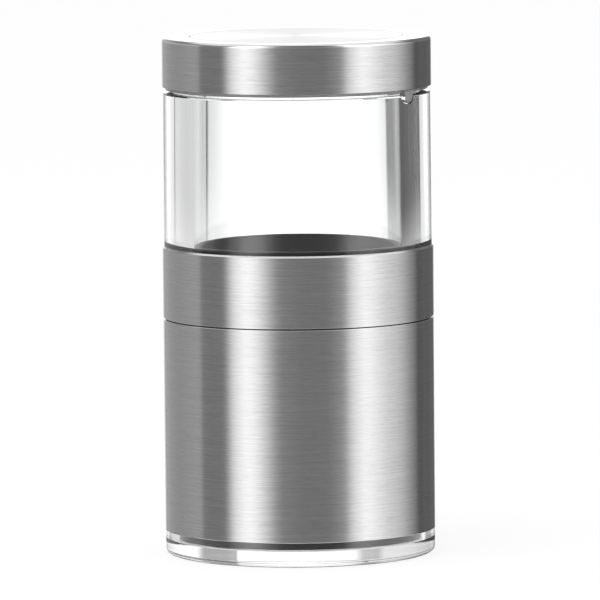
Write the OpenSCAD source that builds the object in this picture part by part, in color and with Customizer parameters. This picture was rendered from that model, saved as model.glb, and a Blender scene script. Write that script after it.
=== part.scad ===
// Hand-turned herb mill, standing upright on its clear foot. The Z axis is the axis of every
// round piece, Z = 0 is the flat underside of the foot, and the front faces -Y. Millimetres.

/* [Overall] */
// Diameter across the steel collar, the widest part of the mill
outer_d = 60; // [58:0.5:64]
// Height of the clear rim of the foot, below the sleeve
foot_rim_h = 5.5; // [5:0.1:6]
// Height of the steel sleeve, from the foot up to the seam
sleeve_h = 46.8; // [46:0.2:56]
// Height of the steel collar, from the seam up to the clear part of the hopper
collar_h = 16; // [13:0.2:22]
// Height of the clear part of the hopper, between collar and lid
window_h = 35.2; // [24:0.2:60]
// Height of the steel shell of the lid
lid_h = 11; // [9:0.2:16]

/* [Steel shells] */
// Sheet thickness of the sleeve, the collar and the lid shell
shell_t = 0.7; // [0.5:0.1:0.8]
// How far the sleeve and the foot stand inside the collar's radius
sleeve_inset = 0.05; // [0:0.05:0.2]
// How far the lid stands inside the collar's radius
lid_inset = 0.25; // [0.1:0.05:0.4]
// Gap of the seam on which the hopper turns
seam_gap = 0.25; // [0.2:0.05:0.5]
// Polished bevel round the top edge of the collar
collar_bevel = 0.35; // [0.15:0.05:0.4]
// Small bevel on the other sheet edges
edge_bevel = 0.15; // [0.05:0.05:0.25]

/* [Foot] */
// Thickness of the floor of the foot
foot_floor_t = 3.3; // [2:0.1:3.4]
// Radius of the foot's lower outer edge
foot_round = 1.2; // [0.6:0.1:1.8]
// Thickness of the foot's outer rim
foot_rim_t = 2.85; // [2.4:0.05:3]
// Height of the foot's spigot above its rim
spigot_h = 6.4; // [5.6:0.1:7.4]
// Wall of the foot's spigot
spigot_t = 2.2; // [2:0.1:2.6]

/* [Base] */
// Wall of the outer skirt of the housing
skirt_t = 1.9; // [1.6:0.1:2]
// Wall of the lip that reaches down inside the foot's rim
lip_t = 1.2; // [1:0.1:1.3]
// Gap between that lip and the floor of the foot
lip_gap = 0.4; // [0.3:0.1:1]
// Wall of the grinding chamber
chamber_t = 1.6; // [1.2:0.1:1.6]
// Thickness of the shelf that carries the cutting plate
shelf_t = 2.6; // [2:0.1:4]
// Number of ribs between the chamber and the skirt
rib_count = 6; // [3:3:9]
// Thickness of those ribs
rib_t = 1.2; // [1:0.1:2]

/* [Cutting set] */
// Height of the top of the cutting plate above the table
plate_z = 18; // [17.4:0.1:20]
// Thickness of the cutting plate
plate_t = 1.2; // [0.8:0.1:1.5]
// Number of slots in the cutting plate
slot_count = 18; // [6:3:21]
// Width of each slot
slot_w = 1.8; // [1:0.1:1.9]
// Turn of each slot away from the radius, which makes it shear like scissors
slot_skew = 14; // [0:1:16]
// Number of blades on the rotor
blade_count = 4; // [3:1:4]
// Width of each blade
blade_w = 2.6; // [1.8:0.1:3]
// Radius of the arc that each blade follows
blade_arc_r = 14; // [12:0.5:20]
// Height of each blade
blade_h = 3; // [2:0.1:3.4]
// Reach of the feed wings from the axis
wing_r = 17; // [12:0.5:18]

/* [Hopper] */
// Wall of the clear tube, measured from its outer face to the top of its bore
tube_t = 6.9; // [5:0.1:7.2]
// Widening of the tube's bore from top to bottom, for the draft of its mould
bore_draft = 0.45; // [0:0.05:0.6]
// Widening of the tube's outside from the lid down to the collar
tube_draft = 0.13; // [0:0.01:0.15]
// How far the tube's neck, which enters the lid, stands inside its outer face
neck_step = 2.05; // [1.9:0.05:2.3]
// Height of the gap between the tube's shoulder and the lid shell, where that neck shows
neck_h = 1.2; // [0.9:0.1:1.6]
// How far the black funnel rises above the collar
funnel_rise = 0.55; // [0.4:0.05:3]
// Width of the funnel's lip
funnel_lip = 1.2; // [0.8:0.1:1.5]
// Number of arms on the drive spider
arm_count = 3; // [2:1:4]
// Width of each arm
arm_w = 4; // [3:0.1:5]

/* [Drive] */
// Width across the flats of the square drive shaft
shaft_w = 5; // [4.4:0.1:5.2]
// Diameter of the shaft's threaded end
thread_d = 4; // [3:0.5:4]
// Mean diameter of the rotor spring
spring_d = 9.2; // [8.8:0.1:10]
// Wire diameter of the rotor spring
wire_d = 0.9; // [0.6:0.05:1]
// Turns of the rotor spring
spring_turns = 5.5; // [4:0.5:6]

/* [Lid] */
// Radius of the lid's top edge
lid_round = 0.9; // [0.3:0.1:1]
// Diameter of the disc that is let into the top of the lid
disc_d = 47.2; // [30:0.2:52]
// Thickness of that disc
disc_t = 0.5; // [0.3:0.1:0.6]
// Width of the fine groove round the disc
disc_gap = 0.15; // [0.1:0.05:0.3]
// How far the lid's liner shows below its steel shell
liner_drop = 0.65; // [0.3:0.05:0.7]
// Width of the tongue that keys the lid to the tube
key_w = 3; // [2:0.1:4]
// How far that tongue reaches below the tube's shoulder
key_drop = 1.4; // [1:0.1:2.5]

/* [Fasteners and seals] */
// Thread diameter of the small screws
screw_d = 2; // [1.6:0.1:2]
// Thickness of the O-ring cord
seal_d = 1.6; // [1.4:0.1:1.6]

/* [Hidden] */
$fn = 96;

// Clearances: glued or seated pieces, running journals, sliding squares and turning walls
fit_gap = 0.05;
slide_gap = 0.1;
turn_gap = 0.3;
cut_past = 1;

// Levels from the table up
z_sleeve = foot_rim_h;
z_seam = z_sleeve + sleeve_h;
z_window = z_seam + collar_h;
z_lid = z_window + window_h;
z_top = z_lid + lid_h;
z_shoulder = z_lid - neck_h;

// Outer radii
collar_r = outer_d / 2;
sleeve_r = collar_r - sleeve_inset;
foot_r = sleeve_r;

// Foot and the lower end of the housing
foot_rim_ri = foot_r - foot_rim_t;
lip_ro = foot_rim_ri - turn_gap;
outlet_r = lip_ro - lip_t;
z_lip = foot_floor_t + lip_gap;
spigot_gap = 0.6;
spigot_ro = outlet_r - spigot_gap;
spigot_ri = spigot_ro - spigot_t;
z_spigot = z_sleeve + spigot_h;
seal_depth = seal_d * 0.85;
seal_w = seal_d + 0.2;
z_foot_seal = z_spigot - seal_w * 1.5;

// Housing
housing_r = sleeve_r - shell_t - fit_gap;
skirt_ri = housing_r - skirt_t;
chamber_r = collar_r - 8.4;
chamber_ro = chamber_r + chamber_t;
shelf_r = chamber_r - 1;
flare_h = 3;
z_plate = plate_z - plate_t;
z_shelf = plate_z + shelf_t;
z_housing = z_seam - 0.4;
journal_r = collar_r - 4;
journal_h = 6;
z_chamber = z_housing - journal_h;
glide_ri = journal_r + turn_gap;
glide_ro = housing_r - 0.6;
glide_inset = 0.5;

// Carrier of the hopper
z_glide = z_seam + 0.9;
z_carrier = z_glide + slide_gap;
z_tube = z_seam + 5.7;
carrier_r = collar_r - shell_t - fit_gap;
spigot_wall = 1.8;
carrier_ro = journal_r - turn_gap;
carrier_ri = carrier_ro - spigot_wall;
carrier_lap = 2;
z_carrier_low = z_chamber - carrier_lap;
rib_h = z_carrier_low - z_shelf - 1;
z_spider = z_seam - 0.3;
throat_r = collar_r - 10.5;

// Lid
lid_r = collar_r - lid_inset;
lid_top_t = 0.9;
shell_ri = lid_r - shell_t;
liner_r = shell_ri - slide_gap;
liner_gap = 0.5;
liner_top_t = 1.9;
z_liner_top = z_top - lid_top_t - slide_gap;
z_liner_low = z_lid - liner_drop;

// Hopper tube, its neck and the funnel
tube_top_r = collar_r - 0.45;
tube_low_r = tube_top_r + tube_draft;
bore_top_r = tube_top_r - tube_t;
bore_low_r = bore_top_r + bore_draft;
tube_bevel = 0.3;
neck_r = tube_top_r - neck_step;
z_neck = z_liner_top - liner_top_t - slide_gap;
z_neck_seal = z_lid + seal_w * 2;
key_turn = -33.6;
funnel_r = bore_top_r + bore_draft / 2;
z_funnel = z_window + funnel_rise;
tube_seal_r = (bore_low_r + carrier_r) / 2;
tube_seal_d = 1.3;

// Drive spider and its screws
spider_r = carrier_ri - fit_gap;
spider_ri = spider_r - 3.4;
spider_t = 3;
hub_r = 6;
hub_h = 6;
arm_turn = 90;

// Shaft, from its head down to the thread
shaft_gap = 0.05;
journal_d = shaft_w;
head_r = 4.5;
head_h = 1.6;
z_shaft_square = plate_z + 0.6;
bush_len = 4.6;
z_bush = plate_z - bush_len;
bush_wall = 2;
bush_flange = 2;
washer_t = 0.8;
washer_r = 4.6;
nut_h = 3.2;
nut_af = 7;
z_washer = z_bush - slide_gap - washer_t;
z_nut = z_washer - nut_h;
z_thread = z_nut - 1;
clip_t = 0.7;
clip_r = 5.2;
groove_r = shaft_w * 0.46;
z_clip = z_spider - hub_h - slide_gap - clip_t;

// Rotor, feed wings and spring
rotor_gap = 0.1;
rotor_r = shelf_r - 0.7;
rotor_hub_r = 7;
rotor_hub_h = 5.9;
z_rotor = plate_z + rotor_gap;
z_wing = z_rotor + rotor_hub_h;
wing_hub_h = 7;
wing_h = 5.5;
wing_t = 2;
wing_pitch = 24;
z_spring = z_wing + wing_hub_h;
blade_step = 0.6;
blade_edge_h = blade_h * 0.4;

// Slots of the cutting plate
plate_r = outlet_r - 0.1;
slot_r0 = 8.5;
slot_r1 = shelf_r - 2;
plate_screw_r = chamber_ro + 0.3;
screw_count = 3;
screw_turn = 30;
screw_boss_r = 2.1;
screw_head_r = screw_d * 0.9;
screw_head_h = screw_d * 0.65;
spider_screw_r = spider_r - screw_head_r - fit_gap;
plate_screw_len = 7.5;
spider_screw_len = 7;

// Rectangle of a turned profile, between two radii and two heights
module span(r0, r1, z0, z1) {
    translate([r0, z0]) square([r1 - r0, z1 - z0]);
}

// Plain ring or bush
module ring(r0, r1, z0, z1) {
    rotate_extrude() span(r0, r1, z0, z1);
}

// Rubber ring of round cord
module o_ring(r, z, cord_d) {
    color("#202022") rotate_extrude() translate([r, z]) circle(d = cord_d);
}

// Sheet-metal tube with its two outer edges bevelled
module sheet_tube(r, z0, z1, low_bevel, top_bevel) {
    rotate_extrude() polygon([
        [r - shell_t, z0], [r - low_bevel, z0], [r, z0 + low_bevel],
        [r, z1 - top_bevel], [r - top_bevel, z1], [r - shell_t, z1]]);
}

// Pieces set evenly round the axis
module around(count, turn) {
    for (i = [0 : count - 1]) rotate([0, 0, turn + i * 360 / count]) children();
}

// Socket-head screw driven upwards, with the underside of its head at Z = 0
module cap_screw(len) {
    socket_r = screw_head_r * 0.55;
    socket_h = screw_head_h * 0.6;
    color("silver") difference() {
        union() {
            translate([0, 0, -screw_head_h]) cylinder(r = screw_head_r, h = screw_head_h);
            cylinder(d = screw_d, h = len);
        }
        translate([0, 0, -screw_head_h - cut_past])
            cylinder(r = socket_r, h = socket_h + cut_past, $fn = 6);
    }
}

// Square hole along the axis
module square_hole(w, z0, z1) {
    translate([-w / 2, -w / 2, z0]) cube([w, w, z1 - z0]);
}

// Clear cap that closes the outlet and carries the mill: floor, rim and sealing spigot
module foot_cap() {
    color("lightcyan", 0.5) rotate_extrude() difference() {
        union() {
            span(0, foot_r - foot_round, 0, foot_rim_h);
            span(0, foot_r, foot_round, foot_rim_h);
            translate([foot_r - foot_round, foot_round]) circle(r = foot_round);
            span(spigot_ri, spigot_ro, foot_floor_t, z_spigot);
        }
        span(-foot_r, 0, -cut_past, z_spigot);
        span(-cut_past, spigot_ri, foot_floor_t, z_spigot + cut_past);
        span(spigot_ro, foot_rim_ri, foot_floor_t, z_spigot + cut_past);
        span(spigot_ro - seal_depth, spigot_ro + cut_past,
             z_foot_seal - seal_w / 2, z_foot_seal + seal_w / 2);
    }
}

module foot_seal() {
    o_ring(spigot_ro - seal_depth + seal_d / 2 + fit_gap, z_foot_seal, seal_d);
}

// Brushed steel sleeve that the hand holds
module sleeve() {
    color("lightgray") sheet_tube(sleeve_r, z_sleeve, z_seam - seam_gap / 2, edge_bevel, edge_bevel);
}

// Black moulding pressed into the sleeve: skirt, shelf, grinding chamber and journal
module base_housing() {
    color("#232325") difference() {
        union() {
            rotate_extrude() {
                span(skirt_ri, housing_r, z_sleeve, z_housing);
                span(outlet_r, lip_ro, z_lip, z_shelf);
                span(outlet_r, housing_r, z_sleeve, z_shelf);
                span(shelf_r, housing_r, plate_z, z_shelf);
                span(shelf_r, chamber_ro, plate_z, z_chamber);
                span(journal_r, housing_r, z_chamber, z_housing);
            }
            around(rib_count, 0)
                translate([chamber_ro - fit_gap, -rib_t / 2, z_shelf - fit_gap])
                    cube([skirt_ri - chamber_ro + 2 * fit_gap, rib_t, rib_h]);
            around(screw_count, screw_turn)
                translate([plate_screw_r, 0, z_shelf - fit_gap])
                    cylinder(r = screw_boss_r, h = plate_z + plate_screw_len + cut_past - z_shelf);
        }
        rotate_extrude() polygon([
            [0, plate_z - cut_past], [shelf_r, plate_z - cut_past], [shelf_r, z_shelf],
            [chamber_r, z_shelf + flare_h], [chamber_r, z_seam], [0, z_seam]]);
        ring(glide_ri - fit_gap, glide_ro + fit_gap, z_housing - glide_inset, z_housing + cut_past);
        around(screw_count, screw_turn)
            translate([plate_screw_r, 0, plate_z - cut_past])
                cylinder(d = screw_d + 2 * fit_gap, h = plate_screw_len + cut_past);
    }
}

// One slot of the cutting plate, with round ends
module plate_slot() {
    mid_r = (slot_r0 + slot_r1) / 2;
    half_len = (slot_r1 - slot_r0) / 2;
    translate([mid_r, 0]) rotate(slot_skew) {
        translate([-half_len, -slot_w / 2]) square([2 * half_len, slot_w]);
        for (side = [-1, 1]) translate([side * half_len, 0]) circle(d = slot_w);
    }
}

// Slotted stainless plate that the rotor shears the herbs against
module cutting_plate() {
    color("gainsboro") translate([0, 0, z_plate]) linear_extrude(plate_t) difference() {
        circle(r = plate_r);
        circle(r = journal_d / 2 + bush_wall + fit_gap);
        around(slot_count, 0) plate_slot();
        around(screw_count, screw_turn) translate([plate_screw_r, 0]) circle(d = screw_d + slide_gap);
    }
}

module plate_screws() {
    around(screw_count, screw_turn) translate([plate_screw_r, 0, z_plate]) cap_screw(plate_screw_len);
}

// Bronze bush in which the shaft turns, with a flange under the plate
module shaft_bush() {
    bore_r = journal_d / 2 + shaft_gap;
    wall_r = journal_d / 2 + bush_wall;
    color("peru") rotate_extrude() {
        span(bore_r, wall_r, z_bush, plate_z);
        span(bore_r, wall_r + bush_flange, z_plate - plate_t, z_plate);
    }
}

// Slippery ring that carries the turning hopper
module glide_ring() {
    color("#2c2c2e") ring(glide_ri, glide_ro, z_housing - glide_inset, z_glide);
}

// Brushed steel collar with a polished bevel round its top
module collar() {
    color("lightgray") sheet_tube(collar_r, z_seam + seam_gap / 2, z_window, edge_bevel, collar_bevel);
}

// Block w wide with a round lower end, from depth inside the tube's face to past outside it
module tongue(w, depth, past, z0, z1) {
    rotate([0, 0, key_turn]) translate([tube_top_r - depth, 0, 0]) rotate([90, 0, 90])
        linear_extrude(depth + past) intersection() {
            translate([-w / 2, z0]) square([w, z1 - z0]);
            union() {
                translate([0, z0 + w / 2]) circle(d = w);
                translate([-w / 2, z0 + w / 2]) square([w, z1 - z0]);
            }
        }
}

// Thick clear tube of the hopper, stepped down where the collar is glued on. Its neck enters the
// lid, and its shoulder has a notch for the lid's tongue.
module hopper_tube() {
    color("lightcyan", 0.5) {
        difference() {
            rotate_extrude() polygon([
                [neck_r - cut_past, z_tube], [carrier_r, z_tube], [carrier_r, z_window],
                [tube_low_r, z_window], [tube_top_r, z_shoulder - tube_bevel],
                [tube_top_r - tube_bevel, z_shoulder], [neck_r - cut_past, z_shoulder]]);
            tongue(key_w + 2 * turn_gap, neck_step + 2 * slide_gap, cut_past,
                   z_shoulder - key_drop - turn_gap, z_shoulder + key_w);
        }
        rotate_extrude() difference() {
            polygon([
                [bore_low_r, z_tube], [neck_r, z_tube], [neck_r, z_neck - tube_bevel],
                [neck_r - tube_bevel, z_neck], [bore_top_r, z_neck]]);
            span(neck_r - seal_depth, neck_r + cut_past,
                 z_neck_seal - seal_w / 2, z_neck_seal + seal_w / 2);
        }
    }
}

// Rubber ring round the tube's neck, which holds and seals the lid
module neck_seal() {
    o_ring(neck_r - seal_depth + seal_d / 2 + fit_gap, z_neck_seal, seal_d);
}

// Black funnel at the bottom of the hopper
module hopper_funnel() {
    color("#232325") rotate_extrude() {
        polygon([
            [throat_r, z_tube], [funnel_r, z_tube], [funnel_r, z_funnel - funnel_lip / 2],
            [funnel_r - funnel_lip, z_funnel - funnel_lip / 2]]);
        translate([funnel_r - funnel_lip / 2, z_funnel - funnel_lip / 2]) circle(d = funnel_lip);
    }
}

module tube_seal() {
    o_ring(tube_seal_r, z_tube - tube_seal_d / 2, tube_seal_d);
}

// Black carrier under the tube, whose spigot turns in the housing
module hopper_carrier() {
    color("#1d1d1f") difference() {
        rotate_extrude() difference() {
            union() {
                span(throat_r, carrier_r, z_carrier, z_tube);
                span(throat_r, carrier_ro, z_spider, z_carrier);
                span(carrier_ri, carrier_ro, z_carrier_low, z_spider);
            }
            span(tube_seal_r - tube_seal_d / 2 - slide_gap, tube_seal_r + tube_seal_d / 2 + slide_gap,
                 z_tube - tube_seal_d, z_tube + cut_past);
        }
        around(arm_count, arm_turn) translate([spider_screw_r, 0, z_spider - cut_past])
            cylinder(d = screw_d + 2 * fit_gap, h = spider_screw_len - spider_t + 2 * cut_past);
    }
}

// Spider whose arms carry the shaft across the hopper's throat
module drive_spider() {
    color("#3a3a3d") difference() {
        union() {
            ring(spider_ri, spider_r, z_spider - spider_t, z_spider);
            translate([0, 0, z_spider - hub_h]) cylinder(r = hub_r, h = hub_h);
            around(arm_count, arm_turn) translate([0, -arm_w / 2, z_spider - spider_t])
                cube([spider_ri + slide_gap, arm_w, spider_t]);
        }
        square_hole(shaft_w + 2 * fit_gap, z_spider - hub_h - cut_past, z_spider + cut_past);
        around(arm_count, arm_turn) translate([spider_screw_r, 0, z_spider - spider_t - cut_past])
            cylinder(d = screw_d + slide_gap, h = spider_t + 2 * cut_past);
    }
}

module spider_screws() {
    around(arm_count, arm_turn) translate([spider_screw_r, 0, z_spider - spider_t])
        cap_screw(spider_screw_len);
}

// Steel shaft: head, square part, clip groove, round journal and thread
module drive_shaft() {
    color("silver") {
        difference() {
            square_hole(shaft_w, z_shaft_square, z_spider);
            ring(groove_r, shaft_w, z_clip - fit_gap, z_clip + clip_t + fit_gap);
        }
        translate([0, 0, z_spider]) cylinder(r = head_r, h = head_h);
        translate([0, 0, z_bush - slide_gap])
            cylinder(d = journal_d, h = z_shaft_square - z_bush + slide_gap);
        translate([0, 0, z_thread]) cylinder(d = thread_d, h = z_bush - slide_gap - z_thread);
    }
}

// Spring clip that locks the shaft under the spider's hub
module shaft_clip() {
    mouth_w = 2 * groove_r * 0.9;
    color("dimgray") difference() {
        ring(groove_r + fit_gap, clip_r, z_clip, z_clip + clip_t);
        translate([0, -mouth_w / 2, z_clip - cut_past])
            cube([clip_r + cut_past, mouth_w, clip_t + 2 * cut_past]);
    }
}

module thrust_washer() {
    color("gainsboro") ring(thread_d / 2 + fit_gap, washer_r, z_washer, z_washer + washer_t);
}

// Hexagon nut that holds hopper and base together
module lock_nut() {
    color("silver") difference() {
        translate([0, 0, z_nut]) cylinder(d = nut_af / cos(30), h = nut_h, $fn = 6);
        translate([0, 0, z_nut - cut_past])
            cylinder(d = thread_d + 2 * fit_gap, h = nut_h + 2 * cut_past);
    }
}

// Plan of one curved blade, w wide, from the axis out to the rotor's rim
module blade_plan(w) {
    intersection() {
        translate([0, -blade_arc_r]) difference() {
            circle(r = blade_arc_r + w / 2);
            circle(r = blade_arc_r - w / 2);
        }
        circle(r = rotor_r);
        translate([0, -rotor_r]) square([rotor_r, 2 * rotor_r]);
    }
}

// Stainless rotor with curved blades that shear across the slots
module cutting_rotor() {
    color("gainsboro") difference() {
        union() {
            translate([0, 0, z_rotor]) cylinder(r = rotor_hub_r, h = rotor_hub_h);
            around(blade_count, 0) {
                translate([0, 0, z_rotor]) linear_extrude(blade_edge_h) blade_plan(blade_w);
                translate([0, 0, z_rotor]) linear_extrude(blade_h) blade_plan(blade_w - 2 * blade_step);
            }
        }
        square_hole(shaft_w + 2 * slide_gap, z_rotor - cut_past, z_wing + cut_past);
    }
}

// Pitched wings above the rotor, which break the herbs up and push them down
module feed_wing() {
    top_r = spring_d / 2 + wire_d / 2 + slide_gap;
    color("#3a3a3d") difference() {
        union() {
            translate([0, 0, z_wing]) cylinder(r1 = rotor_hub_r, r2 = top_r, h = wing_hub_h);
            intersection() {
                around(2, 0) translate([0, 0, z_wing + wing_h / 2]) rotate([wing_pitch, 0, 0])
                    translate([0, -wing_t / 2, -wing_h]) cube([wing_r, wing_t, 2 * wing_h]);
                translate([0, 0, z_wing]) cylinder(r = wing_r, h = wing_h);
            }
        }
        square_hole(shaft_w + 2 * slide_gap, z_wing - cut_past, z_spring + cut_past);
    }
}

// Compression spring, swept as a tube of round wire along a helix
module rotor_spring() {
    rings = 78;
    sides = 8;
    low = z_spring + wire_d / 2;
    rise = z_clip - slide_gap - wire_d / 2 - low;
    function helix(i) = let (a = 360 * spring_turns * i / (rings - 1)) [
        for (k = [0 : sides - 1]) let (b = 360 * k / sides, r = (spring_d + wire_d * cos(b)) / 2)
            [r * cos(a), r * sin(a), low + rise * i / (rings - 1) + wire_d / 2 * sin(b)]];
    points = [for (i = [0 : rings - 1]) each helix(i)];
    faces = [
        [for (k = [0 : sides - 1]) k],
        for (i = [0 : rings - 2]) for (k = [0 : sides - 1]) let (n = (k + 1) % sides)
            [i * sides + k, (i + 1) * sides + k, (i + 1) * sides + n, i * sides + n],
        [for (k = [sides - 1 : -1 : 0]) (rings - 1) * sides + k]];
    color("silver") polyhedron(points, faces);
}

// Brushed steel cap of the lid, with a shallow seat for the disc
module lid_shell() {
    color("lightgray") rotate_extrude() difference() {
        union() {
            polygon([
                [0, z_lid], [lid_r - edge_bevel, z_lid], [lid_r, z_lid + edge_bevel],
                [lid_r, z_top - lid_round], [0, z_top - lid_round]]);
            span(0, lid_r - lid_round, z_top - lid_round - cut_past, z_top);
            translate([lid_r - lid_round, z_top - lid_round]) circle(r = lid_round);
        }
        span(0, shell_ri, z_lid - cut_past, z_top - lid_top_t);
        span(0, disc_d / 2, z_top - disc_t, z_top + cut_past);
    }
}

// Brushed disc let into the top of the lid
module lid_disc() {
    color("whitesmoke") translate([0, 0, z_top - disc_t])
        cylinder(r = disc_d / 2 - disc_gap, h = disc_t);
}

// Milky liner glued into the lid shell: a top, a wall that shows as a fine rim below the steel,
// and the tongue that keys the lid to the tube
module lid_liner() {
    color("whitesmoke", 0.7) {
        rotate_extrude() {
            span(0, liner_r, z_liner_top - liner_top_t, z_liner_top);
            span(neck_r + liner_gap, liner_r, z_liner_low, z_liner_top);
        }
        tongue(key_w, neck_step - liner_gap - slide_gap, 0, z_shoulder - key_drop,
               z_lid - slide_gap);
    }
}

foot_cap();
foot_seal();
sleeve();
base_housing();
cutting_plate();
plate_screws();
shaft_bush();
glide_ring();
collar();
hopper_tube();
hopper_funnel();
tube_seal();
hopper_carrier();
drive_spider();
spider_screws();
drive_shaft();
shaft_clip();
thrust_washer();
lock_nut();
cutting_rotor();
feed_wing();
rotor_spring();
neck_seal();
lid_shell();
lid_disc();
lid_liner();
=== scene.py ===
"""Looks of the hand-turned herb mill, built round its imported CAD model. Metres; Z is the mill's
axis and the front faces -Y. Outlines of turned pieces are written in millimetres."""
import math

import bmesh
import bpy
import numpy as np
from mathutils import Euler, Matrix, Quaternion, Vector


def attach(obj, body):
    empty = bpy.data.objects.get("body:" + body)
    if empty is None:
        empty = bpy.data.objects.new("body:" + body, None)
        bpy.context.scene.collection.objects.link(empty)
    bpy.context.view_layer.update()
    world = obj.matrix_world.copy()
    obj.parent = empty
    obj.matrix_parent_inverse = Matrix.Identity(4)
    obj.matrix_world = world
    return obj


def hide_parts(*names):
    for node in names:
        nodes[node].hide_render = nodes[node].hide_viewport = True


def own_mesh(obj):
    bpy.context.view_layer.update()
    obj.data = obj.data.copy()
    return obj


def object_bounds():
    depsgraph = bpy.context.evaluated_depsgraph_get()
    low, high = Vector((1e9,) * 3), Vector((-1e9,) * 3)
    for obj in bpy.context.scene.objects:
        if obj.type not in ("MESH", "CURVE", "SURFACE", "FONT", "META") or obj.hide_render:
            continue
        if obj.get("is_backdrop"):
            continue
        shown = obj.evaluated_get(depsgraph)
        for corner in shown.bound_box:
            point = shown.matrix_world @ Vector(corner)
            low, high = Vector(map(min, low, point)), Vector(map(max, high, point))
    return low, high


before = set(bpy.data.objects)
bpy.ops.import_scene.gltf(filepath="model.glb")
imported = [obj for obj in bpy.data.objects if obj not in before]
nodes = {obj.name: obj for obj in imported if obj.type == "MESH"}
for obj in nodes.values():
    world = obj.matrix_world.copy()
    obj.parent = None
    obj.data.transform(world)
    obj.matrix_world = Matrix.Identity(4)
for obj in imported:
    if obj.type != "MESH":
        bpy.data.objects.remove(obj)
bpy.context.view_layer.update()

# Camera
# The view is a little downwards through a long lens, as in a packshot of a small mill. The roll
# is the slight lean of the mill in the picture.
LENS = 463.3
CAMERA_AT = (0.00035, -1.700, 0.2278)
AIM_HEIGHT = 0.05584
ROLL = math.radians(0.51)

camera = bpy.data.objects.new("camera", bpy.data.cameras.new("camera"))
bpy.context.scene.collection.objects.link(camera)
camera.data.lens = LENS
camera.data.clip_start, camera.data.clip_end = 0.1, 20.0
camera.location = CAMERA_AT
pitch = math.atan2(CAMERA_AT[2] - AIM_HEIGHT, -CAMERA_AT[1])
camera.rotation_mode = "QUATERNION"
camera.rotation_quaternion = (Euler((math.pi / 2 - pitch, 0, 0)).to_quaternion()
                              @ Quaternion((0, 0, 1), -ROLL))
bpy.context.scene.camera = camera

# Studio
# A small product studio: a pale floor, an even soft fill, one large lamp above, and tall soft
# boxes and grey walls round the mill, which only show mirrored or through the clear parts. They
# are placed and levelled to give the bands of the picture, and aren't one real room.
bpy.context.scene.view_settings.view_transform = "Standard"


def shader(tree, kind, inputs=None, **settings):
    """Adds one shader node. Settings are its properties, and inputs give each socket a value or
    the output of another node."""
    made = tree.nodes.new("ShaderNode" + kind)
    for key, value in settings.items():
        setattr(made, key, value)
    for key, value in (inputs or {}).items():
        if isinstance(value, bpy.types.NodeSocket):
            tree.links.new(value, made.inputs[key])
        else:
            made.inputs[key].default_value = value
    return made


def sum_of(tree, a, b, operation="ADD"):
    """Output of one Math node on two values or outputs."""
    return shader(tree, "Math", {0: a, 1: b}, operation=operation).outputs[0]


def one_of(tree, value, operation):
    """Output of one Math node on one value or output."""
    return shader(tree, "Math", {0: value}, operation=operation).outputs[0]


def mixed(tree, factor, a, b):
    """Number between a and b."""
    return shader(tree, "Mix", {"Factor": factor, "A": a, "B": b}).outputs[0]


def fade(tree, value, start, end, low=0.0, high=1.0):
    """Smooth step of a value from low at start to high at end."""
    return shader(tree, "MapRange", {"Value": value, "From Min": start, "From Max": end,
                                     "To Min": low, "To Max": high},
                  interpolation_type="SMOOTHSTEP").outputs["Result"]


# Soft boxes round the mill, by the angle from the camera's side, positive to the right, in
# degrees: where each begins and is full, where it starts to fall and ends, and its brightness.
SOFT_BOXES = (
    (-68.0, -55.2, -46.0, -13.0, 1.65),
    (-58.0, -45.0, -46.0, -13.0, 0.52),
    (-60.0, -45.0, -20.0, 8.0, 0.10),
    (22.0, 40.0, 50.0, 90.0, 0.22),
    (37.0, 48.0, 85.0, 122.0, 1.14),
    (44.0, 60.0, 56.0, 90.0, 0.84),
)
# Walls and cards of the room, in the same terms, and then one card and one shade that show
# mirrored and not through the clear parts.
WALLS = (
    (-160.0, -159.2, -92.8, -90.8, 0.58),
    (-130.0, -94.0, -92.8, -90.8, 0.16),
    (-92.8, -90.8, 117.0, 122.0, 0.37),
    (128.0, 131.0, 137.0, 140.0, 0.03),
)
MIRRORED_CARD = (117.0, 122.0, 156.0, 162.0, 0.14)
MIRRORED_SHADE = (157.0, 160.0, 168.0, 175.0, -0.6)
DARK = 0.07
CEILING, CLEAR_CEILING = 0.20, 1.0
# How many degrees above the horizon the ceiling begins and is full, where the soft boxes start to
# fade and end, and where the floor begins and is full.
CEILING_RISE, BOXES_END, FLOOR_FALL = (0.0, 40.0), (45.0, 70.0), (-25.0, -55.0)
# Above and behind the mill hangs one large white cloth: how far forward it reaches, as the
# part of the way towards the camera, how high its lower edge is, and its brightness.
CLOTH_EDGE, CLOTH_RISE, CLOTH = (-0.30, -0.22), (30.0, 45.0), 1.2
BACKDROP, BACKDROP_EDGE = 0.80, (160.2, 162.2)
BACKDROP_MIDDLE, BACKDROP_SWELL = 0.42, (161.5, 175.0)
BACKDROP_CORE, CORE_SWELL = 0.5, (171.0, 178.0)
# Low down, beside and behind the mill, the clear parts show a white table instead, with dark
# shapes at its edge that only the foot is low enough to show.
TABLE, TABLE_FROM, TABLE_SIDE = 1.15, (4.25, 5.5), (50.0, 80.0)
SHAPES_FROM = (6.0, 6.8)
SHAPES = (
    (141.0, 147.0, 160.4, 161.6, -0.72),
    (-165.5, -160.5, -157.0, -152.0, -0.68),
    (-158.0, -152.0, -116.0, -108.0, -0.38),
)
FLOOR = 0.95

world = bpy.data.worlds.new("studio")
bpy.context.scene.world = world
world.use_nodes = True
world.cycles.sampling_method = "NONE"
tree = world.node_tree
tree.nodes.clear()
ray = shader(tree, "SeparateXYZ", {0: shader(tree, "TexCoord").outputs["Generated"]})
front = sum_of(tree, ray.outputs["Y"], -1.0, "MULTIPLY")
turn = one_of(tree, sum_of(tree, ray.outputs["X"], front, "ARCTAN2"), "DEGREES")
rise = one_of(tree, one_of(tree, ray.outputs["Z"], "ARCSINE"), "DEGREES")
path = shader(tree, "LightPath")
clear_ray = path.outputs["Is Transmission Ray"]


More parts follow.
